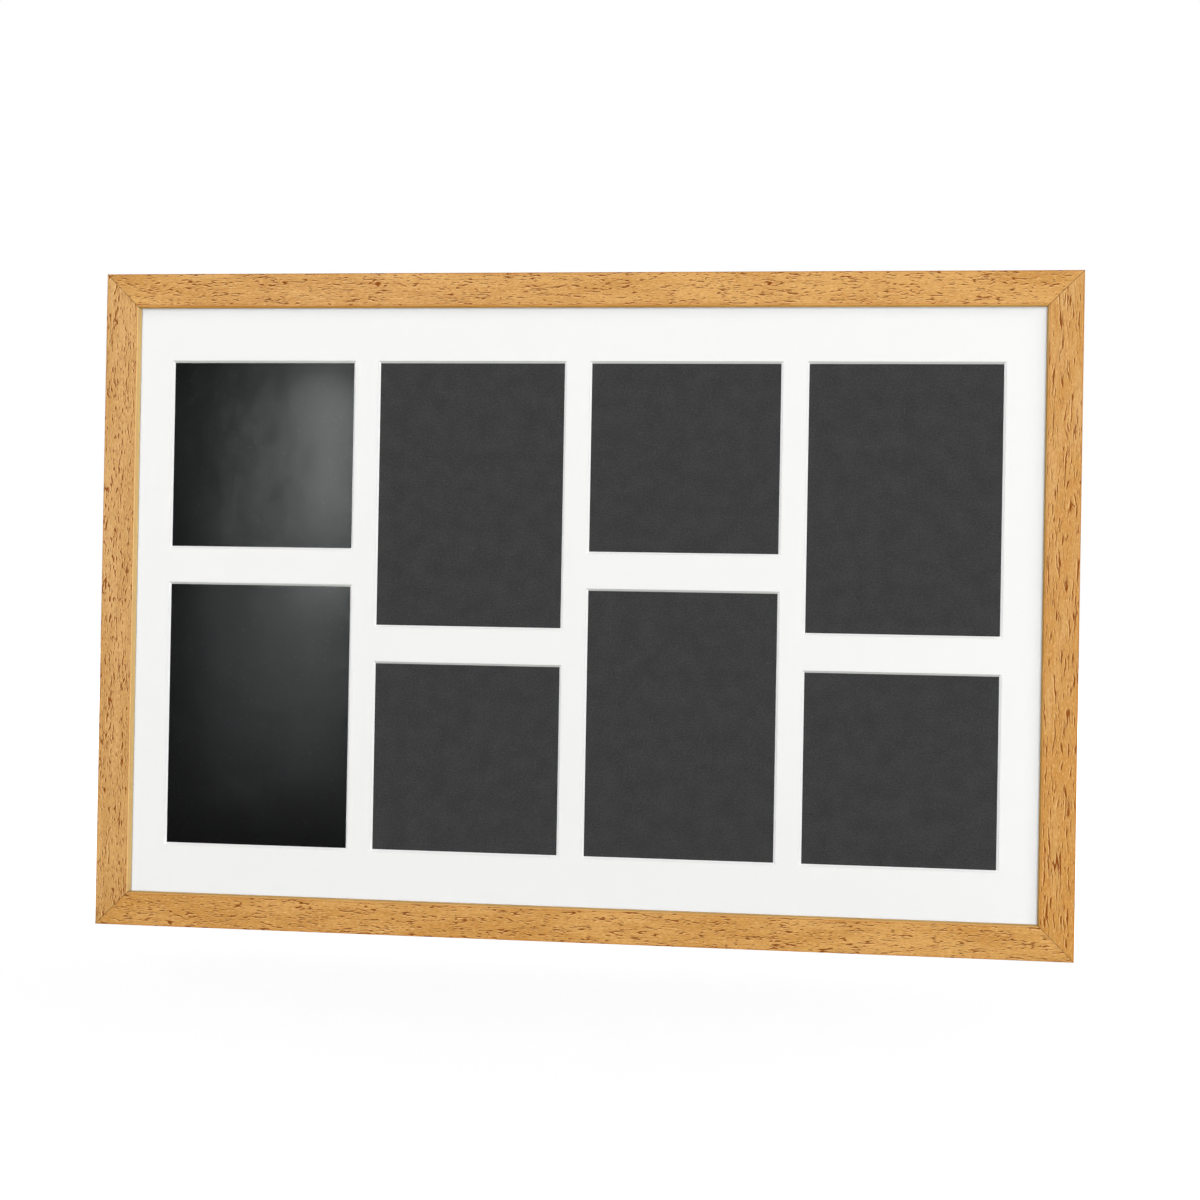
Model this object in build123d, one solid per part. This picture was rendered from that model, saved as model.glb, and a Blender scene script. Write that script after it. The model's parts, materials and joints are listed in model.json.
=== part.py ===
from build123d import *
from math import radians, tan
import os

os.makedirs("parts", exist_ok=True)

# A collage photo frame, in millimetres. X runs along the frame, +Y points to the rear, +Z is up.
# The origin is the middle of the lower edge, at half the depth of the rails.

# Photographs, and the mat's windows that show them
photo_width = 127.0
square_photo_height = 127.0
tall_photo_height = 177.8
photo_thickness = 0.4
window_lap = 1.5
columns = 4
column_gap = 18.1
row_gap = 25.7
left_margin = 23.0
right_margin = 25.8
top_margin = 36.3
bottom_margin = 33.1

# Sheets in the rebate, front to back
glazing_thickness = 2.0
mat_thickness = 1.4
bevel_angle = 45.0
backing_thickness = 3.2
sheet_clearance = 0.5

# Moulding
rail_face = 22.0
rebate_width = 6.0
lip_depth = 7.0
outer_edge_radius = 0.8
sight_edge_radius = 0.6
rear_edge_radius = 0.5

# Corner nails
nail_inset = 5.5
nail_leg = 8.0
nail_thickness = 0.6
nail_height = 8.0
nail_sink = 0.4

# Pan-head screws
screw_length = 9.0
screw_shank_radius = 1.5
screw_head_radius = 3.2
screw_head_height = 1.8
screw_head_top_radius = 2.5
pilot_clearance = 0.05

# Turn buttons
button_pitch = 200.0
button_width = 11.0
button_thickness = 1.0
button_arm = 21.0
button_tail = 6.5
button_toe = 5.0
button_toe_angle = 22.0
button_clearance = 0.1

# Hangers: a strap with a rolled eye, and a D-shaped ring
hanger_drop = 110.0
strap_width = 8.0
strap_thickness = 0.8
strap_screw_drop = 17.5
strap_hole_clearance = 0.2
roll_sweep = 295.0
ring_wire_radius = 0.9
ring_wire_sides = 6
ring_slack = 0.3
ring_inner_width = 10.0
ring_bend_radius = 1.5
ring_arm = 6.0

# Wall bumpers
bumper_radius = 5.0
bumper_height = 4.5
bumper_chamfer = 1.2
bumper_inset = 34.0

# Sizes that follow from the driving dimensions
window_width = photo_width - 2 * window_lap
square_window = square_photo_height - 2 * window_lap
tall_window = tall_photo_height - 2 * window_lap
window_pitch = window_width + column_gap
opening_width = left_margin + columns * window_pitch - column_gap + right_margin
opening_height = top_margin + square_window + row_gap + tall_window + bottom_margin
frame_width = opening_width + 2 * rail_face
frame_height = opening_height + 2 * rail_face
sheet_width = opening_width + 2 * (rebate_width - sheet_clearance)
sheet_height = opening_height + 2 * (rebate_width - sheet_clearance)
sheets_depth = glazing_thickness + mat_thickness + photo_thickness + backing_thickness
rail_depth = lip_depth + sheets_depth
front = -rail_depth / 2
rear = rail_depth / 2
glazing_front = front + lip_depth
mat_front = glazing_front + glazing_thickness
card_front = mat_front + mat_thickness
backing_front = card_front + photo_thickness
land = rail_face - rebate_width
eye_radius = ring_wire_radius + ring_slack
ring_axis_height = strap_thickness + eye_radius

# Where each rail lies: its own frame has its length along X and its outer edge on the X axis
rail_lengths = {"top": frame_width, "bottom": frame_width, "left": frame_height, "right": frame_height}
rail_places = {
    "top": Pos(0, 0, frame_height) * Rot(0, 180, 0),
    "bottom": Pos(0, 0, 0),
    "left": Pos(-frame_width / 2, 0, frame_height / 2) * Rot(0, 90, 0),
    "right": Pos(frame_width / 2, 0, frame_height / 2) * Rot(0, -90, 0),
}


def on_land(rail_name, along):
    """A place on the middle line of a rail's rear face, turned so that +Z points to the backing board."""
    return rail_places[rail_name] * Pos(along, rear, land / 2)


button_places = {
    "turn_button_top_left": on_land("top", button_pitch),
    "turn_button_top_middle": on_land("top", 0),
    "turn_button_top_right": on_land("top", -button_pitch),
    "turn_button_bottom_left": on_land("bottom", -button_pitch),
    "turn_button_bottom_middle": on_land("bottom", 0),
    "turn_button_bottom_right": on_land("bottom", button_pitch),
    "turn_button_left_side": on_land("left", 0),
    "turn_button_right_side": on_land("right", 0),
}
hanger_x = frame_width / 2 - land / 2
hanger_z = frame_height - hanger_drop
hanger_places = {"left": Pos(-hanger_x, rear, hanger_z), "right": Pos(hanger_x, rear, hanger_z)}


def window_layout():
    """Name, height and centre of every window: square over tall and tall over square by turns."""
    windows = []
    first_x = left_margin + window_width / 2 - opening_width / 2
    top_of_windows = frame_height - rail_face - top_margin
    for column in range(columns):
        x = first_x + column * window_pitch
        heights = (square_window, tall_window) if column % 2 == 0 else (tall_window, square_window)
        upper, lower = heights
        upper_z = top_of_windows - upper / 2
        lower_z = top_of_windows - upper - row_gap - lower / 2
        windows.append((f"photo_card_{column + 1}_upper", upper, x, upper_z))
        windows.append((f"photo_card_{column + 1}_lower", lower, x, lower_z))
    return windows


def sheet(width, height, sheet_front, thickness, x=0, z=frame_height / 2):
    """An upright sheet, centred on x and z, whose front face lies at sheet_front."""
    return Pos(x, sheet_front + thickness / 2, z) * Box(width, thickness, height)


def rail_section():
    """Section of the moulding: across the face from the outer edge, and back from the front."""
    outline = Polyline(
        (0, 0),
        (rail_face, 0),
        (rail_face, lip_depth),
        (land, lip_depth),
        (land, rail_depth),
        (0, rail_depth),
        close=True,
    )
    section = make_face(outline)
    for corner, radius in (
        ((0, 0), outer_edge_radius),
        ((rail_face, 0), sight_edge_radius),
        ((0, rail_depth), rear_edge_radius),
    ):
        section = fillet(section.vertices().sort_by_distance(corner)[0], radius)
    return section


def mitred_rail(length):
    """A length of moulding in its own frame, with both ends cut at 45 degrees."""
    end = length / 2
    section_plane = Plane(origin=(end, front, 0), x_dir=(0, 0, 1), z_dir=(-1, 0, 0))
    rail = extrude(section_plane * rail_section(), length)
    for side in (-1, 1):
        mitre = Plane(origin=(side * end, 0, 0), z_dir=(-side, 0, -1))
        rail = split(rail, bisect_by=mitre, keep=Keep.TOP)
    return rail


def v_nail(height, sink):
    """A V-shaped nail, or the slot that it makes, with its corner at the origin and its back at the land."""
    leg = Box(nail_leg, height, nail_thickness, align=(Align.MIN, Align.MAX, Align.MIN))
    other_leg = Box(nail_thickness, height, nail_leg, align=(Align.MIN, Align.MAX, Align.MIN))
    return Pos(0, rear - sink, 0) * (leg + other_leg)


def at_corners(shape):
    """Copies of a shape modelled at the lower left corner, turned into all four corners."""
    copies = []
    for x_side, z_side, turn in ((-1, -1, 0), (-1, 1, 90), (1, 1, 180), (1, -1, 270)):
        x = x_side * (frame_width / 2 - nail_inset)
        z = frame_height / 2 + z_side * (frame_height / 2 - nail_inset)
        copies.append(Pos(x, 0, z) * Rot(0, turn, 0) * shape)
    return copies


def pan_head_screw():
    """A screw along Y, with the underside of its head at the origin."""
    profile = Polyline(
        (0, -screw_length),
        (screw_shank_radius, -screw_length),
        (screw_shank_radius, 0),
        (screw_head_radius, 0),
        (screw_head_top_radius, screw_head_height),
        (0, screw_head_height),
        close=True,
    )
    return revolve(make_face(profile), Axis.Y)


def pilot_hole(plate_thickness):
    """The hole in the wood for a screw that holds a plate on the land."""
    depth = screw_length - plate_thickness + pilot_clearance
    return extrude(Plane.XZ * Circle(screw_shank_radius + pilot_clearance), depth)


def turn_button():
    """A stamped button that turns about the origin: its arm points up and its toe lifts off the board."""
    flat = button_arm - button_toe
    lift = button_toe * tan(radians(button_toe_angle))
    side = Polyline(
        (0, -button_tail),
        (0, flat),
        (lift, button_arm),
        (lift + button_thickness, button_arm),
        (button_thickness, flat),
        (button_thickness, -button_tail),
        close=True,
    )
    strip = extrude(Plane.YZ * make_face(side), button_width / 2, both=True)
    outline = SlotOverall(button_arm + button_tail, button_width, rotation=90)
    outline = Pos(0, (button_arm - button_tail) / 2) * outline
    outline -= Circle(screw_shank_radius + button_clearance)
    return strip & extrude(Plane.XZ * outline, -(lift + button_thickness))


def hanger_strap():
    """A strap whose top is rolled into an eye: the eye's axis is along X, level with the origin."""
    strap_end = strap_screw_drop + strap_width / 2
    centre = (ring_axis_height, 0)
    outer_roll = CenterArc(centre, eye_radius + strap_thickness, 180, -roll_sweep)
    inner_roll = CenterArc(centre, eye_radius, 180 - roll_sweep, roll_sweep)
    side = make_face([
        Line((0, -strap_end), (0, 0)),
        outer_roll,
        Line(outer_roll @ 1, inner_roll @ 0),
        inner_roll,
        Polyline((strap_thickness, 0), (strap_thickness, -strap_end), (0, -strap_end)),
    ])
    strip = extrude(Plane.YZ * side, strap_width / 2, both=True)
    roll_height = 2 * (eye_radius + strap_thickness)
    outline = Rectangle(strap_width, strap_screw_drop + roll_height, align=(Align.CENTER, Align.MIN))
    outline = Pos(0, -strap_screw_drop) * (outline + Circle(strap_width / 2))
    outline -= Pos(0, -strap_screw_drop) * Circle(screw_shank_radius + strap_hole_clearance)
    return strip & extrude(Plane.XZ * outline, -roll_height)


def hanger_ring():
    """A D-shaped wire ring that hangs from its straight bar, which lies along X in the strap's eye."""
    half = ring_inner_width / 2 + ring_wire_radius
    bend = ring_bend_radius
    wire = RegularPolygon(ring_wire_radius, ring_wire_sides)
    bar = extrude(Plane.YZ * Rot(0, 0, 90) * wire, half - bend, both=True)
    arm = Pos(half, 0, -ring_arm) * extrude(wire, ring_arm - bend)
    corner_axis = Axis((half - bend, 0, -bend), (0, -1, 0))
    corner = revolve(Pos(half, 0, -bend) * wire, corner_axis, 90)
    bow = revolve(Pos(half, 0, -ring_arm) * wire, Axis((0, 0, -ring_arm), (0, 1, 0)), 180)
    side = arm + corner
    ring = bar + side + mirror(side, about=Plane.YZ) + bow
    return Pos(0, ring_axis_height, 0) * ring


def wall_bumper():
    """A round rubber buffer on the land."""
    bumper = extrude(Plane.XZ * Circle(bumper_radius), -bumper_height)
    return chamfer(bumper.edges().sort_by(Axis.Y)[-1], bumper_chamfer)


def window_cut(height, x, z):
    """A window through the mat, its bevel opening towards the front."""
    back_plane = Plane(origin=(x, card_front, z), x_dir=(1, 0, 0), z_dir=(0, -1, 0))
    return extrude(back_plane * Rectangle(window_width, height), mat_thickness, taper=-bevel_angle)


def group(solids):
    """Separate solids that share one node."""
    return Compound(children=solids)


# Rails, each with its nail slots and the pilot holes of the hardware on it
nodes = {}
cuts = at_corners(v_nail(nail_height + nail_sink, 0))
cuts += [place * pilot_hole(button_thickness) for place in button_places.values()]
cuts += [place * Pos(0, 0, -strap_screw_drop) * pilot_hole(strap_thickness) for place in hanger_places.values()]
for rail_name, place in rail_places.items():
    nodes[f"{rail_name}_rail"] = place * mitred_rail(rail_lengths[rail_name]) - cuts

# Glazing, mat, cards and backing board, stacked in the rebate
nodes["glazing"] = sheet(sheet_width, sheet_height, glazing_front, glazing_thickness)
mat = sheet(sheet_width, sheet_height, mat_front, mat_thickness)
for card_name, height, x, z in window_layout():
    mat -= window_cut(height, x, z)
    card_height = height + 2 * window_lap
    nodes[card_name] = sheet(photo_width, card_height, card_front, photo_thickness, x, z)
nodes["mat_board"] = mat
nodes["backing_board"] = sheet(sheet_width, sheet_height, backing_front, backing_thickness)

# Hardware on the rear
nodes["corner_v_nails"] = group(at_corners(v_nail(nail_height, nail_sink)))
for button_name, place in button_places.items():
    nodes[button_name] = place * turn_button()
nodes["turn_button_screws"] = group(
    [place * Pos(0, button_thickness, 0) * pan_head_screw() for place in button_places.values()]
)
for side, place in hanger_places.items():
    nodes[f"hanger_strap_{side}"] = place * hanger_strap()
    nodes[f"hanger_ring_{side}"] = place * hanger_ring()
nodes["hanger_screws"] = group(
    [place * Pos(0, strap_thickness, -strap_screw_drop) * pan_head_screw() for place in hanger_places.values()]
)
bumper_x = frame_width / 2 - bumper_inset
nodes["wall_bumpers"] = group([Pos(x, rear, land / 2) * wall_bumper() for x in (-bumper_x, bumper_x)])

for node_name, shape in nodes.items():
    export_step(shape, f"parts/{node_name}.step")
print(f"{len(nodes)} nodes, frame {frame_width:.1f} x {rail_depth:.1f} x {frame_height:.1f} mm")
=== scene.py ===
import json
from math import atan2, cos, radians, sin

import bpy
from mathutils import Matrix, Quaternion, Vector


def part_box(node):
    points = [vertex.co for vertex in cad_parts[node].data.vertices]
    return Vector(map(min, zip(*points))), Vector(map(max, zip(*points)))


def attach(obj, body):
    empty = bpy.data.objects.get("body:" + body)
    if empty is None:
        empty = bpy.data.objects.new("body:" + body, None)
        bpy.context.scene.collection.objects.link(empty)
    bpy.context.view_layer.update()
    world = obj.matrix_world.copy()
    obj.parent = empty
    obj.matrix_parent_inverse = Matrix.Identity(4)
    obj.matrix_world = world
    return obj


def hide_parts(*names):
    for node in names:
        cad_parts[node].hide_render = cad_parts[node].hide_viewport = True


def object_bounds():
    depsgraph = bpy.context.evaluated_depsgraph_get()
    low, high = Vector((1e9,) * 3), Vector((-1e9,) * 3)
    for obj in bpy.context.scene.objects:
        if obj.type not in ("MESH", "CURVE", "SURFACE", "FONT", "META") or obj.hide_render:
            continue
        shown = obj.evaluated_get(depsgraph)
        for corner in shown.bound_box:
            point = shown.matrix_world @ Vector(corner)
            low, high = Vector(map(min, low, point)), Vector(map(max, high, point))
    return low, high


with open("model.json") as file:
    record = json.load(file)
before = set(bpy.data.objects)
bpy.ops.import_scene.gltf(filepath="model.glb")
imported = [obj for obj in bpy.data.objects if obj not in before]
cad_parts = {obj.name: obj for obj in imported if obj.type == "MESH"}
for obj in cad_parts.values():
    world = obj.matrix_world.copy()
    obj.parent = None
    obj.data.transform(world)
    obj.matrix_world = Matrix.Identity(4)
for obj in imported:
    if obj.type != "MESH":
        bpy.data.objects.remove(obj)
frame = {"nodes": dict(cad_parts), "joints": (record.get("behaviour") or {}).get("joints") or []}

# A collage photo frame in honey wood, in metres, in the frame of its solids.
# X runs along the frame, +Y points to the rear, +Z is up. Materials work in millimetres.

cad_low, cad_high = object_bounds()
MM = 0.001
FRAME_WIDTH = (cad_high.x - cad_low.x) / MM
FRAME_HEIGHT = (cad_high.z - cad_low.z) / MM
RAIL_FACE = (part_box("bottom_rail")[1].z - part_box("bottom_rail")[0].z) / MM
MAT_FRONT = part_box("mat_board")[0].y / MM

# Camera: where it stands, the point on the front that it looks at, and its tilt to the left
CAMERA_PLACE = (0.13346, -1.07492, 0.21859)
CAMERA_AIM = (0.01665, -0.007, 0.22384)
CAMERA_TILT = 1.02
CAMERA_LENS = 49.455
CAMERA_SENSOR = 36.0

# Light: a softbox behind the camera, a broad key light from the upper right, two lamps on the left
# that show only as gloss, a lamp for the rear, and a pale room that is brighter behind the frame
SOFTBOX_PLACE = (0.48, -5.1, 0.59)
LAMP_AIM = (0.0, 0.0, 0.22)
SOFTBOX_SIZE = 1.15
SOFTBOX_POWER = 141.0
KEY_FROM = (0.40, -0.83, 0.38)
KEY_SPREAD = 40.0
KEY_STRENGTH = 0.62
GLOSS_LAMPS = {
    "strip_lamp": {"place": (-0.464, -1.167, 0.436), "size": (0.02, 0.31), "power": 11.5},
    "low_lamp": {"place": (-0.561, -1.354, 0.115), "size": (0.21, 0.38), "power": 6.4},
}
COOL_GLOSS = (0.95, 1.0, 0.985)
GLOSS_AIM = (-0.2, 0.0, 0.25)
REAR_PLACE = (0.9, 2.2, 1.3)
REAR_SIZE = 0.8
REAR_POWER = 48.0
ROOM_FRONT = 0.1
ROOM_REAR = 0.55
ROOM_TURN = (-0.15, 0.45)
FLOOR_HALF = 6.0
FLOOR_GLOW = 0.65
FLOOR_NEAR = 900.0
FLOOR_FAR = 2600.0


def tone(red, green, blue):
    """A colour given as it shows on a display, from 0 to 255, as the linear colour that a shader takes."""
    linear = []
    for level in (red, green, blue):
        share = level / 255
        linear.append(share / 12.92 if share <= 0.04045 else ((share + 0.055) / 1.055) ** 2.4)
    return (*linear, 1.0)


class Value:
    """A shader socket that takes part in Python expressions."""

    def __init__(self, finish, socket):
        self.finish = finish
        self.socket = socket

    def math(self, operation, *operands):
        inputs = dict(enumerate(operands))
        return self.finish.node("ShaderNodeMath", {"operation": operation}, inputs)

    def __add__(self, other):
        return self.math("ADD", self, other)

    def __radd__(self, other):
        return self.math("ADD", other, self)

    def __sub__(self, other):
        return self.math("SUBTRACT", self, other)

    def __rsub__(self, other):
        return self.math("SUBTRACT", other, self)

    def __mul__(self, other):
        return self.math("MULTIPLY", self, other)

    def __rmul__(self, other):
        return self.math("MULTIPLY", other, self)

    def __truediv__(self, other):
        return self.math("DIVIDE", self, other)

    def __neg__(self):
        return self.math("MULTIPLY", self, -1.0)

    def __abs__(self):
        return self.math("ABSOLUTE", self)

    def least(self, other):
        return self.math("MINIMUM", self, other)

    def most(self, other):
        return self.math("MAXIMUM", self, other)


class Finish:
    """A material, or the world, and the nodes that it is made of."""

    def __init__(self, owner):
        owner.use_nodes = True
        self.owner = owner
        self.tree = owner.node_tree
        self.tree.nodes.clear()

    def node(self, kind, settings=None, inputs=None, output=0):
        """A node of a kind, with its settings and then its inputs, as the value of one of its outputs."""
        made = self.tree.nodes.new(kind)
        for setting, value in (settings or {}).items():
            setattr(made, setting, value)
        for name, value in (inputs or {}).items():
            if isinstance(value, Value):
                self.tree.links.new(value.socket, made.inputs[name])
            else:
                made.inputs[name].default_value = value
        return Value(self, made.outputs[output])

    def place(self):
        """The x, y and z of a point of the piece, in millimetres."""
        coordinates = self.node("ShaderNodeTexCoord", output="Object")
        return [self.node("ShaderNodeSeparateXYZ", None, {0: coordinates}, axis) / MM for axis in "XYZ"]

    def facing(self):
        """The x, y and z of the surface's normal."""
        normal = self.node("ShaderNodeNewGeometry", output="Normal")
        return [self.node("ShaderNodeSeparateXYZ", None, {0: normal}, axis) for axis in "XYZ"]

    def noise(self, place, spacing, detail=2.0, roughness=0.5):
        """Soft noise about 0.5 at a place, with spots about one spacing apart along each axis."""
        steps = spacing if isinstance(spacing, tuple) else (spacing,) * 3
        x, y, z = [value / step for value, step in zip(place, steps)]
        vector = self.node("ShaderNodeCombineXYZ", None, {"X": x, "Y": y, "Z": z})
        inputs = {"Vector": vector, "Scale": 1.0, "Detail": detail, "Roughness": roughness}
        return self.node("ShaderNodeTexNoise", {"noise_dimensions": "3D"}, inputs)

    def figure(self, along, across, spacing, layer, detail=2.0, roughness=0.5):
        """Noise over two directions of a surface, with a spacing along each, in a layer of its own."""
        return self.noise((along, across, layer), (*spacing, 1.0), detail, roughness)

    def band(self, value, low, high):
        """0 below low and 1 above high, with a smooth step between them."""
        inputs = {"Value": value, "From Min": low, "From Max": high}
        return self.node("ShaderNodeMapRange", {"interpolation_type": "SMOOTHSTEP"}, inputs)

    def blend(self, share, first, second):
        """The first colour where share is 0, the second where it is 1."""
        settings = {"data_type": "RGBA", "clamp_factor": True}
        return self.node("ShaderNodeMix", settings, {0: share, 6: first, 7: second}, 2)

    def bump(self, height, distance):
        """The normal of a surface whose height is given in units of distance, in millimetres."""
        inputs = {"Height": height, "Distance": distance * MM, "Strength": 1.0}
        return self.node("ShaderNodeBump", None, inputs)

    def surface(self, **inputs):
        """Ends a material with one plain shader, whose inputs are named with _ for each space."""
        named = {name.replace("_", " "): value for name, value in inputs.items()}
        return self.end(self.node("ShaderNodeBsdfPrincipled", None, named))

    def end(self, shader):
        """Links a shader to the output, and gives the finished material or world."""
        kind = "World" if isinstance(self.owner, bpy.types.World) else "Material"
        output = self.tree.nodes.new(f"ShaderNodeOutput{kind}")
        self.tree.links.new(shader.socket, output.inputs["Surface"])
        return self.owner


def new_finish(name):
    """A new material of this name, still without nodes."""
    return Finish(bpy.data.materials.new(name))


def dress(material, *node_names):
    """Gives a material to solids that keep their own shape."""
    for name in node_names:
        frame["nodes"][name].material_slots[0].material = material


# Wood of the rails

# Pale honey of the ripples, also used for the painted highlights beside the pores
HONEY_PALE_AND_HIGHLIGHT = tone(245, 202, 136)
HONEY_LIGHT = tone(225, 171, 95)
HONEY_DEEP = tone(206, 148, 70)
TAN_LIGHT = tone(222, 174, 108)
TAN_DEEP = tone(205, 153, 84)
HONEY_AMBER = tone(190, 102, 26)
PORE_BROWN = tone(136, 62, 8)
# Pale honey painted on the lips as light that falls on them
LIP_PAINTED_LIGHT = tone(252, 208, 138)
MITRE_BROWN = tone(104, 68, 32)
RAW_LIGHT = tone(222, 190, 146)
RAW_DEEP = tone(196, 158, 112)

# Satin lacquer on the wood: its share and how rough it is
SATIN = 0.2
SATIN_ROUGHNESS = 0.42

# How dark the pores and mitres are, and how deep a pore is
PORE_SHARE = 0.84
MITRE_SHARE = 0.8
PORE_HOLLOW = 0.2

# Spacing of the wood's figure along the grain, across it and, for the first two, into the wood
# Pores lie as far apart along the grain as their rail says
WANDER = (26.0, 10.0, 10.0)
CLOUDS = (55.0, 11.0, 11.0)
KINKS = (3.8, 3.5)
PORE_ROWS = (24.0, 2.1)
CROWDS = (28.0, 6.0)
PORE_ACROSS = 1.6
RAGGED_EDGES = (1.6, 0.6)
RIPPLES = (2.6, 0.9)
VEIN_GAPS = (14.0, 3.0)
STREAKS = (26.0, 0.7)

# How far the grain wanders, and how far off a pore its painted highlight lies
WANDER_WIDTH = 4.5
PAINTED_HIGHLIGHT_OFFSET = 0.6

# How each rail's own length of wood looks: the stretch of the plank that it was cut from, how much painted
# light its lip gets, its light and deep tone, how deep it starts and how it fades along the rail, and its
# pores
RAILS = {
    "top": {
        "upright": False, "plank": 0.0, "painted_lip_light": 0.0,
        "light": HONEY_LIGHT, "deep": HONEY_DEEP, "depth": 0.0, "fade": 0.0001,
        "pore_scale": 0.64, "pore_width": 0.55, "pore_length": 6.5, "wriggle": 1.4,
    },
    "bottom": {
        "upright": False, "plank": 1400.0, "painted_lip_light": 0.45,
        "light": HONEY_LIGHT, "deep": HONEY_DEEP, "depth": 0.03, "fade": 0.0002,
        "pore_scale": 0.62, "pore_width": 0.54, "pore_length": 7.0, "wriggle": 1.3,
    },
    "left": {
        "upright": True, "plank": 2900.0, "painted_lip_light": 1.0,
        "light": TAN_LIGHT, "deep": TAN_DEEP, "depth": 0.04, "fade": 0.0001,
        "pore_scale": 0.7, "pore_width": 0.59, "pore_length": 6.5, "wriggle": 2.6,
    },
    "right": {
        "upright": True, "plank": 4300.0, "painted_lip_light": 0.2,
        "light": TAN_LIGHT, "deep": HONEY_DEEP, "depth": 0.16, "fade": 0.0004,
        "pore_scale": 0.7, "pore_width": 0.57, "pore_length": 17.0, "wriggle": 1.5,
    },
}


def pore_rows(finish, run, grain, scale, width, length, wriggle):
    """Rows of pores that wind along the grain: how far a point is off its row, and how deep in a pore."""
    run, grain = run / scale, grain / scale
    kink = (finish.figure(run, grain, KINKS, layer=0.0, detail=1.0) - 0.5) * wriggle
    off_row = abs(finish.figure(run, grain + kink, PORE_ROWS, layer=5.0, roughness=0.45) - 0.5)
    crowding = (finish.figure(run, grain, CROWDS, layer=13.0, detail=1.0) - 0.5) * 0.45
    swell = (finish.figure(run, grain, (length, PORE_ACROSS), layer=2.0) - 0.53 + crowding) * width
    ragged = (finish.figure(run, grain, RAGGED_EDGES, layer=3.0, detail=1.0) - 0.5) * 0.045
    return off_row, swell - off_row + ragged


def honey_wood(rail):
    """Satin honey wood, its face full of short dark pores along the rail, its rear left raw, with painted
    highlights beside the pores, painted light on the lips and painted shade along the sight edge.
    """
    look = RAILS[rail]
    finish = new_finish(f"honey_wood_{rail}")
    x, depth, z = finish.place()
    rearward = finish.facing()[1]
    along, rise = (z, x) if look["upright"] else (x, z)
    run = along + look["plank"]

    # Where a point lies on the moulding
    from_side = FRAME_WIDTH / 2 - abs(x)
    from_end = FRAME_HEIGHT / 2 - abs(z - FRAME_HEIGHT / 2)
    from_edge = from_side.least(from_end)
    rear = finish.band(rearward, 0.35, 0.8)
    lip = finish.band(from_edge, RAIL_FACE - 0.7, RAIL_FACE - 0.3)
    # Painted shade on the rounded sight edge, just short of the lip
    painted_sight_shade = finish.band(from_edge, RAIL_FACE - 1.5, RAIL_FACE - 0.9) * (1 - lip)
    outer_line = (1 - finish.band(from_edge, 0.2, 1.2)) * finish.band(-rearward, 0.5, 0.9)
    porous = (1 - lip) * (1 - rear)

    # Pores, ripples and veins along the grain
    wander = (finish.noise((run, rise, depth), WANDER) - 0.5) * WANDER_WIDTH
    grain = rise + depth + wander
    pore_shape = look["pore_scale"], look["pore_width"], look["pore_length"], look["wriggle"]
    off_row, level = pore_rows(finish, run, grain, *pore_shape)
    # A painted highlight on the side of each pore that faces the light: the pore rows shifted across the
    # grain
    painted_highlight_level = pore_rows(finish, run, grain + PAINTED_HIGHLIGHT_OFFSET, *pore_shape)[1]
    pores = finish.band(level, -0.005, 0.03) * porous
    halo = finish.band(level, -0.05, 0.02) * porous
    painted_pore_highlight = finish.band(painted_highlight_level, -0.01, 0.04) * (1 - finish.band(level, -0.03, 0.0)) * porous
    ripples = finish.figure(run, grain, RIPPLES, layer=7.0, detail=3.0, roughness=0.65)
    ripple_dark = finish.band(ripples, 0.52, 0.7) * porous
    ripple_pale = finish.band(1 - ripples, 0.53, 0.7) * porous
    veins = (1 - finish.band(off_row, 0.0, 0.026)) * porous
    vein_gaps = finish.figure(run, grain, VEIN_GAPS, layer=9.0, detail=1.0)
    veins = veins * finish.band(vein_gaps, 0.44, 0.6)

    # Colours, from the ground tone up
    clouds = finish.noise((run, rise, depth), CLOUDS, detail=3.0)
    streaks = finish.figure(run, grain, STREAKS, layer=11.0, detail=3.0, roughness=0.6)
    tone_share = clouds * 0.6 + streaks * 0.4 + (look["depth"] - along * look["fade"])
    honey = finish.blend(finish.band(tone_share, 0.36, 0.64), look["light"], look["deep"])
    # Paler ripples, and the painted highlights beside the pores
    honey = finish.blend((painted_pore_highlight * 0.65).most(ripple_pale * 0.55), honey, HONEY_PALE_AND_HIGHLIGHT)
    honey = finish.blend((halo * 0.35).most(ripple_dark * 0.45).most(veins * 0.55), honey, HONEY_AMBER)
    # Painted shade along the sight edge, and a darker amber line along the outer edge
    honey = finish.blend((painted_sight_shade * 0.35).most(outer_line * 0.4), honey, HONEY_AMBER)
    honey = finish.blend(pores * PORE_SHARE, honey, PORE_BROWN)
    # Painted light on the lips, as much as each rail's lip is given
    honey = finish.blend(lip * look["painted_lip_light"], honey, LIP_PAINTED_LIGHT)
    raw = finish.blend(streaks, RAW_LIGHT, RAW_DEEP)
    colour = finish.blend(rear, honey, raw)
    mitre = 1 - finish.band(abs(from_side - from_end), 0.1, 0.4)
    colour = finish.blend(mitre * MITRE_SHARE, colour, MITRE_BROWN)

    height = (streaks * 0.1 - ripple_dark * 0.3 - veins * 0.3) * porous - pores - mitre * 0.6
    return finish.surface(
        Base_Color=colour,
        Roughness=0.6 + pores * 0.3 + rear * 0.3,
        Specular_IOR_Level=0.0,
        Coat_Weight=porous * (1 - pores) * SATIN,
        Coat_Roughness=SATIN_ROUGHNESS,
        Normal=finish.bump(height, PORE_HOLLOW),
    )


# Sheets in the rebate

MAT_WHITE = tone(249, 249, 247)
MAT_SHADE = tone(246, 246, 244)
MAT_CORE = tone(255, 255, 255)
# Grey of the face paper's edge, also used as painted shade on the bevels that face down
MAT_PAPER_EDGE_AND_SHADE = tone(214, 216, 212)
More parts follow.
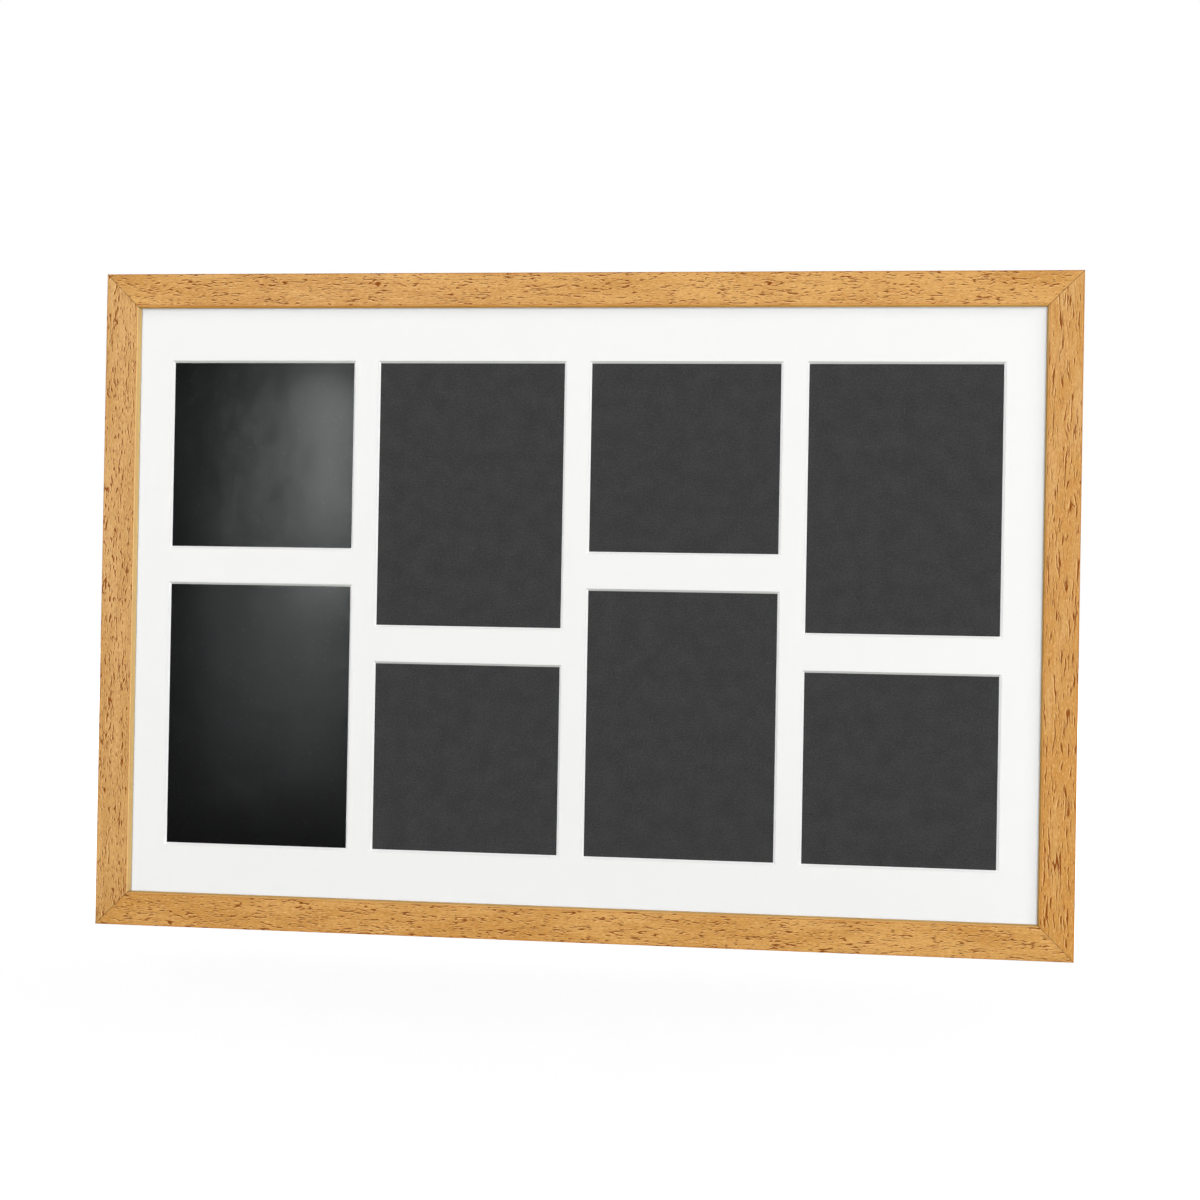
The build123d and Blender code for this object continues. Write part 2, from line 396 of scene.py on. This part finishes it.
# Strength of the painted glow on the mat's cut bevels
PAINTED_BEVEL_GLOW = 0.1
CHARCOAL = tone(69, 69, 69)
CHARCOAL_DEEP = tone(58, 58, 58)
CHARCOAL_FIBRE = tone(90, 90, 90)
GLOSS_BLACK = tone(5, 5, 6)
BOARD_BROWN = tone(152, 115, 80)
BOARD_DARK = tone(122, 88, 58)
BOARD_PALE = tone(180, 146, 108)

# Gloss of the black cards, and how far they bulge and how far in from their edges
GLOSS_LEVEL = 0.045
GLOSS_ROUGHNESS = 0.19
BULGE = 0.47
BULGE_REACH = 36.0

# How fast the glazing starts to mirror at a slant, and what is taken off so that it is clear head-on
GLASS_BLEND = 0.3
GLASS_HEAD_ON = 0.05


def white_mat():
    """White mat board: a faintly toothed face, a whiter core at the cut windows with a painted glow, and
    painted shade on the bevels that face down.
    """
    finish = new_finish("white_mat")
    place = finish.place()
    from_front = place[1] - MAT_FRONT
    _, rearward, upward = finish.facing()
    tooth = finish.noise(place, 0.9, detail=3.0, roughness=0.6)
    clouds = finish.noise(place, 40.0)
    face = finish.blend(clouds * 0.5 + tooth * 0.5, MAT_WHITE, MAT_SHADE)
    cut = 1 - finish.band(abs(rearward), 0.75, 0.95)
    # Painted shade on the bevels that face down
    painted_underside_shade = cut * finish.band(-upward, 0.3, 0.6)
    paper_edge = cut * (1 - finish.band(from_front, 0.12, 0.3))
    colour = finish.blend(cut, face, MAT_CORE)
    # The face paper's edge, and painted shade on the bevels that face down
    colour = finish.blend((paper_edge * 0.5).most(painted_underside_shade), colour, MAT_PAPER_EDGE_AND_SHADE)
    return finish.surface(
        Base_Color=colour,
        Roughness=0.85 + tooth * 0.1,
        Specular_IOR_Level=0.1,
        Normal=finish.bump(tooth, 0.04),
        # A painted glow on the cut bevels, left off those that face down
        Emission_Color=finish.blend(cut - painted_underside_shade, (0.0, 0.0, 0.0, 1.0), MAT_CORE),
        Emission_Strength=PAINTED_BEVEL_GLOW,
    )


def paper_fibres(finish, x, z):
    """Short pale hairs scattered over a card, as lines that bend with a noise."""
    curl = finish.figure(x, z, (7.0, 7.0), layer=0.0)
    off_line = abs(finish.figure(x, z, (2.6, 1.7), layer=curl * 3.0, detail=1.0) - 0.5)
    patches = finish.figure(x, z, (3.0, 3.0), layer=4.0, detail=1.0)
    return (1 - finish.band(off_line, 0.004, 0.025)) * finish.band(patches, 0.58, 0.68)


def charcoal_card():
    """Matte charcoal card, mottled and with fine fibres."""
    finish = new_finish("charcoal_card")
    x, _, z = finish.place()
    mottle = finish.figure(x, z, (14.0, 14.0), layer=0.0, detail=3.0, roughness=0.6)
    fleck = finish.figure(x, z, (1.3, 1.0), layer=2.0, detail=3.0, roughness=0.65)
    fibres = paper_fibres(finish, x, z)
    colour = finish.blend(finish.band(mottle * 0.3 + fleck * 0.7, 0.36, 0.64), CHARCOAL, CHARCOAL_DEEP)
    colour = finish.blend(fibres * 0.35, colour, CHARCOAL_FIBRE)
    return finish.surface(
        Base_Color=colour,
        Roughness=0.92 + fleck * 0.06,
        Specular_IOR_Level=0.0,
        Normal=finish.bump(fleck + fibres * 0.5, 0.03),
    )


def rise_from_edges(value, axis, upper_card, lower_card):
    """0 at the edges of the card that a point is on, 1 from BULGE_REACH inwards, and round between them."""
    from_edges = []
    for card in (upper_card, lower_card):
        low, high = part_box(card)
        middle = (low[axis] + high[axis]) / 2 / MM
        half = (high[axis] - low[axis]) / 2 / MM
        from_edges.append(half - abs(value - middle))
    inside = from_edges[0].most(from_edges[1])
    slack = 1 - (inside / BULGE_REACH).least(1.0)
    return 1 - slack * slack


def gloss_black_card(cards):
    """Black card with a soft gloss, bulged a little in its window, faintly wavy and with a few fibres."""
    finish = new_finish("gloss_black_card")
    x, _, z = finish.place()
    waves = finish.figure(x, z, (45.0, 45.0), layer=0.0)
    fleck = finish.figure(x + z, x - z, (2.4, 1.4), layer=2.0, detail=4.0, roughness=0.65)
    fibres = paper_fibres(finish, x, z)
    bulge = (rise_from_edges(x, 0, *cards) + rise_from_edges(z, 2, *cards)) * BULGE
    colour = finish.blend(fibres * 0.3, GLOSS_BLACK, CHARCOAL)
    return finish.surface(
        Base_Color=colour,
        Roughness=GLOSS_ROUGHNESS + waves * 0.04 + fleck * 0.04,
        Specular_IOR_Level=GLOSS_LEVEL,
        Normal=finish.bump(bulge + waves * 0.45 + fleck * 0.027, 1.0),
    )


def clear_glazing():
    """Clear sheet that lets the mat show and only mirrors the room at a slant."""
    finish = new_finish("clear_glazing")
    slant = finish.node("ShaderNodeLayerWeight", None, {"Blend": GLASS_BLEND}, "Fresnel")
    inner_face = finish.node("ShaderNodeNewGeometry", output="Backfacing")
    smear = finish.noise(finish.place(), 90.0)
    clear = finish.node("ShaderNodeBsdfTransparent", None, {"Color": (1.0, 1.0, 1.0, 1.0)})
    mirror = finish.node("ShaderNodeBsdfGlossy", None, {"Roughness": 0.02 + smear * 0.02})
    share = (slant - GLASS_HEAD_ON).most(0.0) * (1 - inner_face)
    return finish.end(finish.node("ShaderNodeMixShader", None, {0: share, 1: clear, 2: mirror}))


def fibreboard():
    """Brown pressed board, speckled with fine fibres."""
    finish = new_finish("fibreboard")
    place = finish.place()
    clouds = finish.noise(place, 50.0, detail=3.0)
    fibre = finish.noise(place, (2.2, 0.9, 0.9), detail=4.0, roughness=0.65)
    speck = finish.noise(place, 0.6)
    colour = finish.blend(finish.band(clouds * 0.2 + fibre * 0.8, 0.35, 0.65), BOARD_BROWN, BOARD_DARK)
    colour = finish.blend(finish.band(speck, 0.6, 0.75) * 0.5, colour, BOARD_PALE)
    return finish.surface(
        Base_Color=colour,
        Roughness=0.72 + fibre * 0.12,
        Specular_IOR_Level=0.25,
        Normal=finish.bump(fibre * 0.6 + speck * 0.4, 0.08),
    )


# Metal and rubber

ZINC = tone(206, 205, 200)
ZINC_DULL = tone(168, 167, 163)
SCREW_STEEL = tone(214, 206, 182)
NAIL_STEEL = tone(120, 120, 122)
NAIL_DULL = tone(92, 92, 94)
RUBBER = tone(38, 38, 39)
RUBBER_DUST = tone(58, 58, 58)


def steel(name, bright, dull, roughness, scratch):
    """Plated steel: cloudy plating, fine tumbling marks and some scratches."""
    finish = new_finish(name)
    place = finish.place()
    clouds = finish.noise(place, 6.0, detail=3.0)
    marks = finish.noise(place, (0.25, 0.25, 1.4), detail=3.0, roughness=0.6)
    colour = finish.blend(finish.band(clouds * 0.7 + marks * 0.3, 0.38, 0.64), bright, dull)
    return finish.surface(
        Base_Color=colour,
        Metallic=1.0,
        Roughness=roughness + clouds * 0.14 + marks * 0.08,
        Normal=finish.bump(marks, scratch),
    )


def bumper_rubber():
    """Dark rubber with a fine dusty grain."""
    finish = new_finish("bumper_rubber")
    place = finish.place()
    grain = finish.noise(place, 0.35)
    dust = finish.noise(place, 3.0, detail=3.0)
    colour = finish.blend(finish.band(dust * 0.6 + grain * 0.4, 0.45, 0.7), RUBBER, RUBBER_DUST)
    return finish.surface(
        Base_Color=colour,
        Roughness=0.5 + dust * 0.2,
        Specular_IOR_Level=0.4,
        Normal=finish.bump(grain, 0.03),
    )


# Modelling of the pieces that Blender shapes, in millimetres about each piece's own seat and in degrees

PANE_PLAY = 0.1
PANE_ARRIS = 0.4
SCREW_SIDES = 40
SCREW_PROFILE = (
    (0.15, -9.0), (1.5, -6.6), (1.5, 0.0), (3.1, 0.0), (3.2, 0.1), (3.2, 0.6),
    (3.08, 1.0), (2.7, 1.36), (2.1, 1.62), (1.2, 1.77), (0.4, 1.8),
)
RECESS_WIDTH = 0.75
RECESS_LENGTH = 3.5
RECESS_DEPTH = 1.1
RECESS_TAPER = 0.5
HEAD_HEIGHT = SCREW_PROFILE[-1][1]
BUMPER_SIDES = 48
BUMPER_PROFILE = (
    (4.85, 0.0), (5.0, 0.15), (5.0, 2.3), (4.86, 3.0), (4.4, 3.65), (3.6, 4.15), (2.4, 4.42), (0.8, 4.5),
)
BUTTON_WIDTH = 11.0
BUTTON_TAIL = 6.5
BUTTON_FLAT = 16.0
BUTTON_TOE = 5.0
BUTTON_TOE_ANGLE = 22.0
BUTTON_BEND = 1.6
BUTTON_BEND_LINES = 4
BUTTON_THICKNESS = 1.0
BUTTON_HOLE = 1.6
STRAP_WIDTH = 8.0
STRAP_THICKNESS = 0.8
STRAP_SCREW_DROP = 17.5
STRAP_HOLE = 1.7
ROLL_RADIUS = 2.0
ROLL_SWEEP = 295.0
ROLL_STEPS = 26
WIRE_RADIUS = 0.9
WIRE_SIDES = 20
RING_HALF = 5.9
RING_BEND = 1.5
RING_ARM = 6.0
RING_BEND_STEPS = 6
RING_BOW_STEPS = 24
STAMPED_EDGE = 0.16
STAMPED_SHARP = 50.0
STAMPED_CORNER_STEPS = 10
EDGE_STEPS = 2
DRILL_SIDES = 32
DRILL_DEPTH = 4.0
MERGE_GAP = 0.005
ROUND_ANGLE = 35.0
SCREW_TURN = 37.0
STRAP_SCREW_START = 55.5


def mm(x, y, z):
    """A place given in millimetres, in metres."""
    return Vector((x, y, z)) * MM


def begin(name, add, **sizes):
    """Adds a primitive, alone in the selection, and opens it for editing."""
    bpy.ops.object.select_all(action="DESELECT")
    add(**sizes)
    piece = bpy.context.object
    piece.name = name
    bpy.ops.object.transform_apply(location=True, rotation=True, scale=True)
    bpy.ops.object.mode_set(mode="EDIT")
    return piece


def pick(piece, chosen):
    """Selects the points of a piece that a test of their place, in millimetres, accepts."""
    bpy.ops.mesh.select_mode(type="VERT")
    bpy.ops.mesh.select_all(action="DESELECT")
    bpy.ops.object.mode_set(mode="OBJECT")
    for point in piece.data.vertices:
        point.select = chosen(point.co / MM)
    bpy.ops.object.mode_set(mode="EDIT")


def draw_out(x=0.0, y=0.0, z=0.0):
    """Extrudes what is selected by a step."""
    bpy.ops.mesh.extrude_region_move(TRANSFORM_OT_translate={"value": mm(x, y, z)})


def sweep(angle, steps, centre, axis):
    """Spins what is selected about a centre, right-handed about the axis."""
    bpy.ops.mesh.spin(steps=steps, angle=-radians(angle), center=mm(*centre), axis=axis)


def close(piece):
    """Merges doubles, turns the faces outwards, leaves edit mode and shades the round stretches smooth."""
    bpy.ops.mesh.select_all(action="SELECT")
    bpy.ops.mesh.remove_doubles(threshold=MERGE_GAP * MM)
    bpy.ops.mesh.normals_make_consistent(inside=False)
    bpy.ops.object.mode_set(mode="OBJECT")
    bpy.ops.object.shade_smooth_by_angle(angle=radians(ROUND_ANGLE))
    return piece


def work(piece, kind, **settings):
    """Adds a modifier to a piece and applies it."""
    modifier = piece.modifiers.new(kind.lower(), kind)
    for setting, value in settings.items():
        setattr(modifier, setting, value)
    bpy.context.view_layer.objects.active = piece
    bpy.ops.object.modifier_apply(modifier=modifier.name)


def cut(piece, tool):
    """Takes the shape of a tool out of a piece."""
    work(piece, "BOOLEAN", operation="DIFFERENCE", solver="EXACT", object=tool)
    bpy.data.objects.remove(tool)


def drill(piece, radius, z):
    """Drills a round hole along Y through a plate."""
    tool = begin(
        "drill", bpy.ops.mesh.primitive_cylinder_add, vertices=DRILL_SIDES, radius=radius * MM,
        depth=DRILL_DEPTH * MM, location=mm(0, 0, z), rotation=(radians(90), 0, 0),
    )
    cut(piece, close(tool))


def turned(name, sides, profile):
    """A round piece along Y: a disc drawn out and resized along its profile of radius and height."""
    radius, height = profile[0]
    piece = begin(
        name, bpy.ops.mesh.primitive_circle_add, vertices=sides, radius=radius * MM, fill_type="NGON",
        location=mm(0, height, 0), rotation=(radians(-90), 0, 0),
    )
    for next_radius, next_height in profile[1:]:
        draw_out(y=next_height - height)
        growth = next_radius / radius
        bpy.ops.transform.resize(value=(growth, growth, growth), center_override=mm(0, next_height, 0))
        radius, height = next_radius, next_height
    return close(piece)


def pan_head_screw():
    """A screw along Y, the underside of its domed head at the origin, with a cross recess in the head."""
    screw = turned("screw_pattern", SCREW_SIDES, SCREW_PROFILE)
    for length_x, length_z in ((RECESS_LENGTH, RECESS_WIDTH), (RECESS_WIDTH, RECESS_LENGTH)):
        blade = begin("driver_blade", bpy.ops.mesh.primitive_cube_add, size=2 * RECESS_DEPTH * MM)
        growth = (length_x / (2 * RECESS_DEPTH), 1.0, length_z / (2 * RECESS_DEPTH))
        bpy.ops.transform.resize(value=growth, center_override=(0, 0, 0))
        bpy.ops.transform.translate(value=mm(0, HEAD_HEIGHT, 0))
        pick(blade, lambda point: point.y < HEAD_HEIGHT)
        taper = (RECESS_TAPER, 1.0, RECESS_TAPER)
        bpy.ops.transform.resize(value=taper, center_override=mm(0, HEAD_HEIGHT, 0))
        cut(screw, close(blade))
    return screw


def stamped_blank(name, width, low, high, rounded):
    """A flat outline on the land, from low to high along Z, rounded at the corners that a test accepts."""
    blank = begin(name, bpy.ops.mesh.primitive_plane_add, size=1.0, rotation=(radians(-90), 0, 0))
    bpy.ops.transform.resize(value=(width * MM, 1.0, (high - low) * MM), center_override=(0, 0, 0))
    bpy.ops.transform.translate(value=mm(0, 0, (low + high) / 2))
    pick(blank, rounded)
    bpy.ops.mesh.bevel(
        offset=width / 2 * MM, offset_type="OFFSET", segments=STAMPED_CORNER_STEPS, affect="VERTICES",
    )
    bpy.ops.mesh.select_all(action="SELECT")
    bpy.ops.mesh.remove_doubles(threshold=MERGE_GAP * MM)
    return blank


def finish_stamping(piece, thickness):
    """Gives a bent blank its thickness, towards the rear from its flat, and breaks its edges."""
    bpy.ops.mesh.select_all(action="SELECT")
    bpy.ops.mesh.normals_make_consistent(inside=False)
    bpy.ops.object.mode_set(mode="OBJECT")
    flat = max(piece.data.polygons, key=lambda face: face.area)
    if flat.normal.y < 0:
        piece.data.flip_normals()
    work(piece, "SOLIDIFY", thickness=thickness * MM, offset=1.0, use_even_offset=True)
    work(
        piece, "BEVEL", width=STAMPED_EDGE * MM, segments=EDGE_STEPS,
        limit_method="ANGLE", angle_limit=radians(STAMPED_SHARP),
    )
    bpy.ops.object.mode_set(mode="EDIT")
    return close(piece)


def turn_button():
    """A stamped button about its pivot: its arm points up and its toe bends off the board."""
    toe = BUTTON_TOE / cos(radians(BUTTON_TOE_ANGLE))
    end = BUTTON_FLAT + toe
    button = stamped_blank("button_pattern", BUTTON_WIDTH, -BUTTON_TAIL, end, lambda point: True)
    step = BUTTON_BEND / (BUTTON_BEND_LINES - 1)
    first_line = BUTTON_FLAT - BUTTON_BEND / 2
    for line in range(BUTTON_BEND_LINES):
        bpy.ops.mesh.select_all(action="SELECT")
        bpy.ops.mesh.bisect(plane_co=mm(0, 0, first_line + line * step), plane_no=(0, 0, 1))
    turn = radians(BUTTON_TOE_ANGLE) / BUTTON_BEND_LINES
    hinge_y, hinge_z = 0.0, first_line
    for line in range(BUTTON_BEND_LINES):
        pick(button, lambda point: point.z > hinge_z + step / 4)
        bpy.ops.transform.rotate(value=turn, orient_axis="X", center_override=mm(0, hinge_y, hinge_z))
        slope = turn * (line + 1)
        hinge_y += step * sin(slope)
        hinge_z += step * cos(slope)
    finish_stamping(button, BUTTON_THICKNESS)
    drill(button, BUTTON_HOLE, 0.0)
    return button


def hanger_strap():
    """A strap on the land whose top is rolled into an eye: the eye's axis is level with the origin."""
    strap_end = -STRAP_SCREW_DROP - STRAP_WIDTH / 2
    strap = stamped_blank(
        "strap_pattern", STRAP_WIDTH, strap_end, 0.0, lambda point: point.z < strap_end / 2
    )
    pick(strap, lambda point: point.z > -MERGE_GAP)
    sweep(ROLL_SWEEP, ROLL_STEPS, (0, ROLL_RADIUS, 0), (-1, 0, 0))
    finish_stamping(strap, STRAP_THICKNESS)
    drill(strap, STRAP_HOLE, -STRAP_SCREW_DROP)
    return strap


def hanger_ring():
    """A D-shaped ring of round wire about its bar, which lies along X: runs drawn out, bends spun."""
    ring = begin(
        "ring_pattern", bpy.ops.mesh.primitive_circle_add,
        vertices=WIRE_SIDES, radius=WIRE_RADIUS * MM, fill_type="NOTHING", rotation=(0, radians(90), 0),
    )
    bar = RING_HALF - RING_BEND
    side = RING_ARM - RING_BEND
    draw_out(x=bar)
    sweep(90, RING_BEND_STEPS, (bar, 0, -RING_BEND), (0, 1, 0))
    draw_out(z=-side)
    sweep(180, RING_BOW_STEPS, (0, 0, -RING_ARM), (0, 1, 0))
    draw_out(z=side)
    sweep(90, RING_BEND_STEPS, (-bar, 0, -RING_BEND), (0, 1, 0))
    draw_out(x=bar)
    return close(ring)


def glass_pane():
    """The sheet of glazing, with a little play in the rebate and its edges ground."""
    low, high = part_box("glazing")
    pane = begin("glass_pane", bpy.ops.mesh.primitive_cube_add, size=1.0)
    width, depth, height = high - low
    growth = (width, depth - 2 * PANE_PLAY * MM, height)
    bpy.ops.transform.resize(value=growth, center_override=(0, 0, 0))
    bpy.ops.transform.translate(value=(low + high) / 2)
    bpy.ops.mesh.bevel(offset=PANE_ARRIS * MM, segments=EDGE_STEPS, affect="EDGES")
    return close(pane)


def copy_to(pattern, name, place, turn=0.0):
    """A copy of a pattern with its own mesh, turned about Y and set on its place."""
    copy = pattern.copy()
    copy.data = pattern.data.copy()
    copy.name = name
    bpy.context.scene.collection.objects.link(copy)
    copy.location = place
    copy.rotation_euler = (0, turn, 0)
    bpy.ops.object.select_all(action="DESELECT")
    copy.select_set(True)
    bpy.context.view_layer.objects.active = copy
    bpy.ops.object.transform_apply(location=True, rotation=True, scale=True)
    return copy


def as_one(name, pieces):
    """Joins pieces into one that stands for a group of solids."""
    bpy.ops.object.select_all(action="DESELECT")
    for piece in pieces:
        piece.select_set(True)
    bpy.context.view_layer.objects.active = pieces[0]
    bpy.ops.object.join()
    pieces[0].name = name
    return pieces[0]


def fit(piece, material, body, node):
    """Gives a finished piece its material and the body that it rides on, and hides the solid that it stands
    for.
    """
    piece.data.materials.clear()
    piece.data.materials.append(material)
    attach(piece, body)
    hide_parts(node)


# Stage: floor, room, lights and camera

FLOOR_PALE = tone(243, 243, 243)
FLOOR_GREY = tone(240, 240, 240)


def white_floor():
    """A pale floor that shows white, but for the shadow on it, and fades into the room far away."""
    finish = new_finish("white_floor")
    x, y, _ = finish.place()
    tint = finish.figure(x, y, (FLOOR_NEAR, FLOOR_NEAR), layer=0.0)
    colour = finish.blend(tint, FLOOR_PALE, FLOOR_GREY)
    far = finish.band(abs(x).most(abs(y)), FLOOR_NEAR, FLOOR_FAR)
    paper = finish.node("ShaderNodeBsdfDiffuse", None, {"Color": colour})
    glow_strength = seen_rays(finish) * (FLOOR_GLOW + far * (1 - FLOOR_GLOW))
    glow = finish.node("ShaderNodeEmission", None, {"Strength": glow_strength})
    return finish.end(finish.node("ShaderNodeAddShader", None, {0: paper, 1: glow}))


def seen_rays(finish):
    """1 for rays that show the room itself or its mirror image, 0 for those that only light the frame."""
    camera = finish.node("ShaderNodeLightPath", output="Is Camera Ray")
    glossy = finish.node("ShaderNodeLightPath", output="Is Glossy Ray")
    transmission = finish.node("ShaderNodeLightPath", output="Is Transmission Ray")
    return camera.most(glossy).most(transmission)


def set_stage():
    """Floor under the frame, and a white room that lights it softly."""
    bpy.ops.object.select_all(action="DESELECT")
    bpy.ops.mesh.primitive_plane_add(size=2 * FLOOR_HALF)
    floor = bpy.context.object
    floor.name = "floor"
    floor.data.materials.append(white_floor())

    world = bpy.data.worlds.new("white_room")
    bpy.context.scene.world = world
    room = Finish(world)
    direction = room.node("ShaderNodeTexCoord", output="Generated")
    rearward = room.node("ShaderNodeSeparateXYZ", None, {0: direction}, "Y")
    light = ROOM_FRONT + room.band(rearward, *ROOM_TURN) * (ROOM_REAR - ROOM_FRONT)
    strength = light.most(seen_rays(room))
    white = (1.0, 1.0, 1.0, 1.0)
    room.end(room.node("ShaderNodeBackground", None, {"Color": white, "Strength": strength}))


def hang_lamp(name, kind, place, aim, **settings):
    """A lamp on a stand at a place, turned to the point that it aims at."""
    lamp = bpy.data.lights.new(name, kind)
    for setting, value in settings.items():
        setattr(lamp, setting, value)
    stand = bpy.data.objects.new(name, lamp)
    bpy.context.scene.collection.objects.link(stand)
    stand.location = place
    stand.rotation_mode = "QUATERNION"
    stand.rotation_quaternion = (Vector(aim) - Vector(place)).to_track_quat("-Z", "Y")
    return stand


def set_lights():
    """The softbox, the rear lamp, the key light and the lamps that show only as gloss."""
    for name, place, power, size in (
        ("softbox", SOFTBOX_PLACE, SOFTBOX_POWER, SOFTBOX_SIZE),
        ("rear_lamp", REAR_PLACE, REAR_POWER, REAR_SIZE),
    ):
        stand = hang_lamp(name, "AREA", place, LAMP_AIM, energy=power, shape="DISK", size=size)
        stand.visible_camera = False
    hang_lamp("key_light", "SUN", KEY_FROM, (0, 0, 0), energy=KEY_STRENGTH, angle=radians(KEY_SPREAD))
    for name, lamp in GLOSS_LAMPS.items():
        width, height = lamp["size"]
        stand = hang_lamp(
            name, "AREA", lamp["place"], GLOSS_AIM,
            energy=lamp["power"], color=COOL_GLOSS, shape="RECTANGLE", size=width, size_y=height,
        )
        stand.visible_diffuse = False
        stand.visible_camera = False


def set_camera():
    """The camera at the photograph's viewing angle."""
    camera = bpy.data.cameras.new("camera")
    camera.lens = CAMERA_LENS
    camera.sensor_width = CAMERA_SENSOR
    stand = bpy.data.objects.new("camera", camera)
    bpy.context.scene.collection.objects.link(stand)
    stand.location = CAMERA_PLACE
    stand.rotation_mode = "QUATERNION"
    level = (Vector(CAMERA_AIM) - Vector(CAMERA_PLACE)).to_track_quat("-Z", "Y")
    stand.rotation_quaternion = level @ Quaternion((0, 0, 1), radians(CAMERA_TILT))
    bpy.context.scene.camera = stand
    bpy.context.scene.view_settings.view_transform = "Standard"


# Finishes on the solids that keep their shape, with no warm bounce from the wood on the white mat

for rail in RAILS:
    dress(honey_wood(rail), f"{rail}_rail")
    frame["nodes"][f"{rail}_rail"].visible_diffuse = False
charcoal_cards = []
for column in (2, 3, 4):
    charcoal_cards += [f"photo_card_{column}_upper", f"photo_card_{column}_lower"]
dress(charcoal_card(), *charcoal_cards)
gloss_cards = ["photo_card_1_upper", "photo_card_1_lower"]
dress(gloss_black_card(gloss_cards), *gloss_cards)
dress(white_mat(), "mat_board")
dress(fibreboard(), "backing_board")
dress(steel("nail_steel", NAIL_STEEL, NAIL_DULL, 0.4, 0.03), "corner_v_nails")

# Pieces that are modelled here, each on the seat of the solid that it stands for
# The land is the rear of the rails, which the hardware sits on

plated_steel = steel("plated_steel", ZINC, ZINC_DULL, 0.26, 0.02)
ring_wire = steel("ring_wire", ZINC, ZINC_DULL, 0.2, 0.01)
screw_steel = steel("screw_steel", SCREW_STEEL, ZINC_DULL, 0.28, 0.02)
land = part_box("turn_button_top_middle")[0].y
pivots = {joint["child"]: Vector(joint["pos_m"]) for joint in frame["joints"]}
buttons = [name for name in pivots if name.startswith("turn_button")]
rings = [name for name in pivots if name.startswith("hanger_ring")]

fit(glass_pane(), clear_glazing(), "frame", "glazing")

button_pattern = turn_button()
for name in buttons:
    low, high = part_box(name)
    arm = (low + high) / 2 - pivots[name]
    button = copy_to(button_pattern, f"{name}_stamped", pivots[name], atan2(arm.x, arm.z))
    fit(button, plated_steel, name, name)
bpy.data.objects.remove(button_pattern)

strap_pattern = hanger_strap()
ring_pattern = hanger_ring()
for name in rings:
    side = name.rsplit("_", 1)[1]
    seat = Vector((pivots[name].x, land, pivots[name].z))
    strap = copy_to(strap_pattern, f"hanger_strap_{side}_rolled", seat)
    fit(strap, plated_steel, "frame", f"hanger_strap_{side}")
    ring = copy_to(ring_pattern, f"{name}_wire", pivots[name])
    fit(ring, ring_wire, name, name)
bpy.data.objects.remove(strap_pattern)
bpy.data.objects.remove(ring_pattern)

screw_pattern = pan_head_screw()
button_screws = []
for number, name in enumerate(buttons):
    seat = pivots[name] + mm(0, BUTTON_THICKNESS, 0)
    turn = radians(SCREW_TURN * number)
    button_screws.append(copy_to(screw_pattern, f"{name}_screw", seat, turn))
button_screws = as_one("button_screws_cross_head", button_screws)
fit(button_screws, screw_steel, "frame", "turn_button_screws")
strap_screws = []
for number, name in enumerate(rings):
    seat = Vector((pivots[name].x, land, pivots[name].z)) + mm(0, STRAP_THICKNESS, -STRAP_SCREW_DROP)
    turn = radians(STRAP_SCREW_START + SCREW_TURN * number)
    strap_screws.append(copy_to(screw_pattern, f"{name}_screw", seat, turn))
strap_screws = as_one("strap_screws_cross_head", strap_screws)
fit(strap_screws, screw_steel, "frame", "hanger_screws")
bpy.data.objects.remove(screw_pattern)

bumper_pattern = turned("bumper_pattern", BUMPER_SIDES, BUMPER_PROFILE)
low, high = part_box("wall_bumpers")
bumper_radius = (high.z - low.z) / 2
bumpers = [
    copy_to(bumper_pattern, f"wall_bumper_{side}", (x, land, (low.z + high.z) / 2))
    for side, x in (("left", low.x + bumper_radius), ("right", high.x - bumper_radius))
]
bumpers = as_one("wall_bumpers_domed", bumpers)
fit(bumpers, bumper_rubber(), "frame", "wall_bumpers")
bpy.data.objects.remove(bumper_pattern)

set_stage()
set_lights()
set_camera()
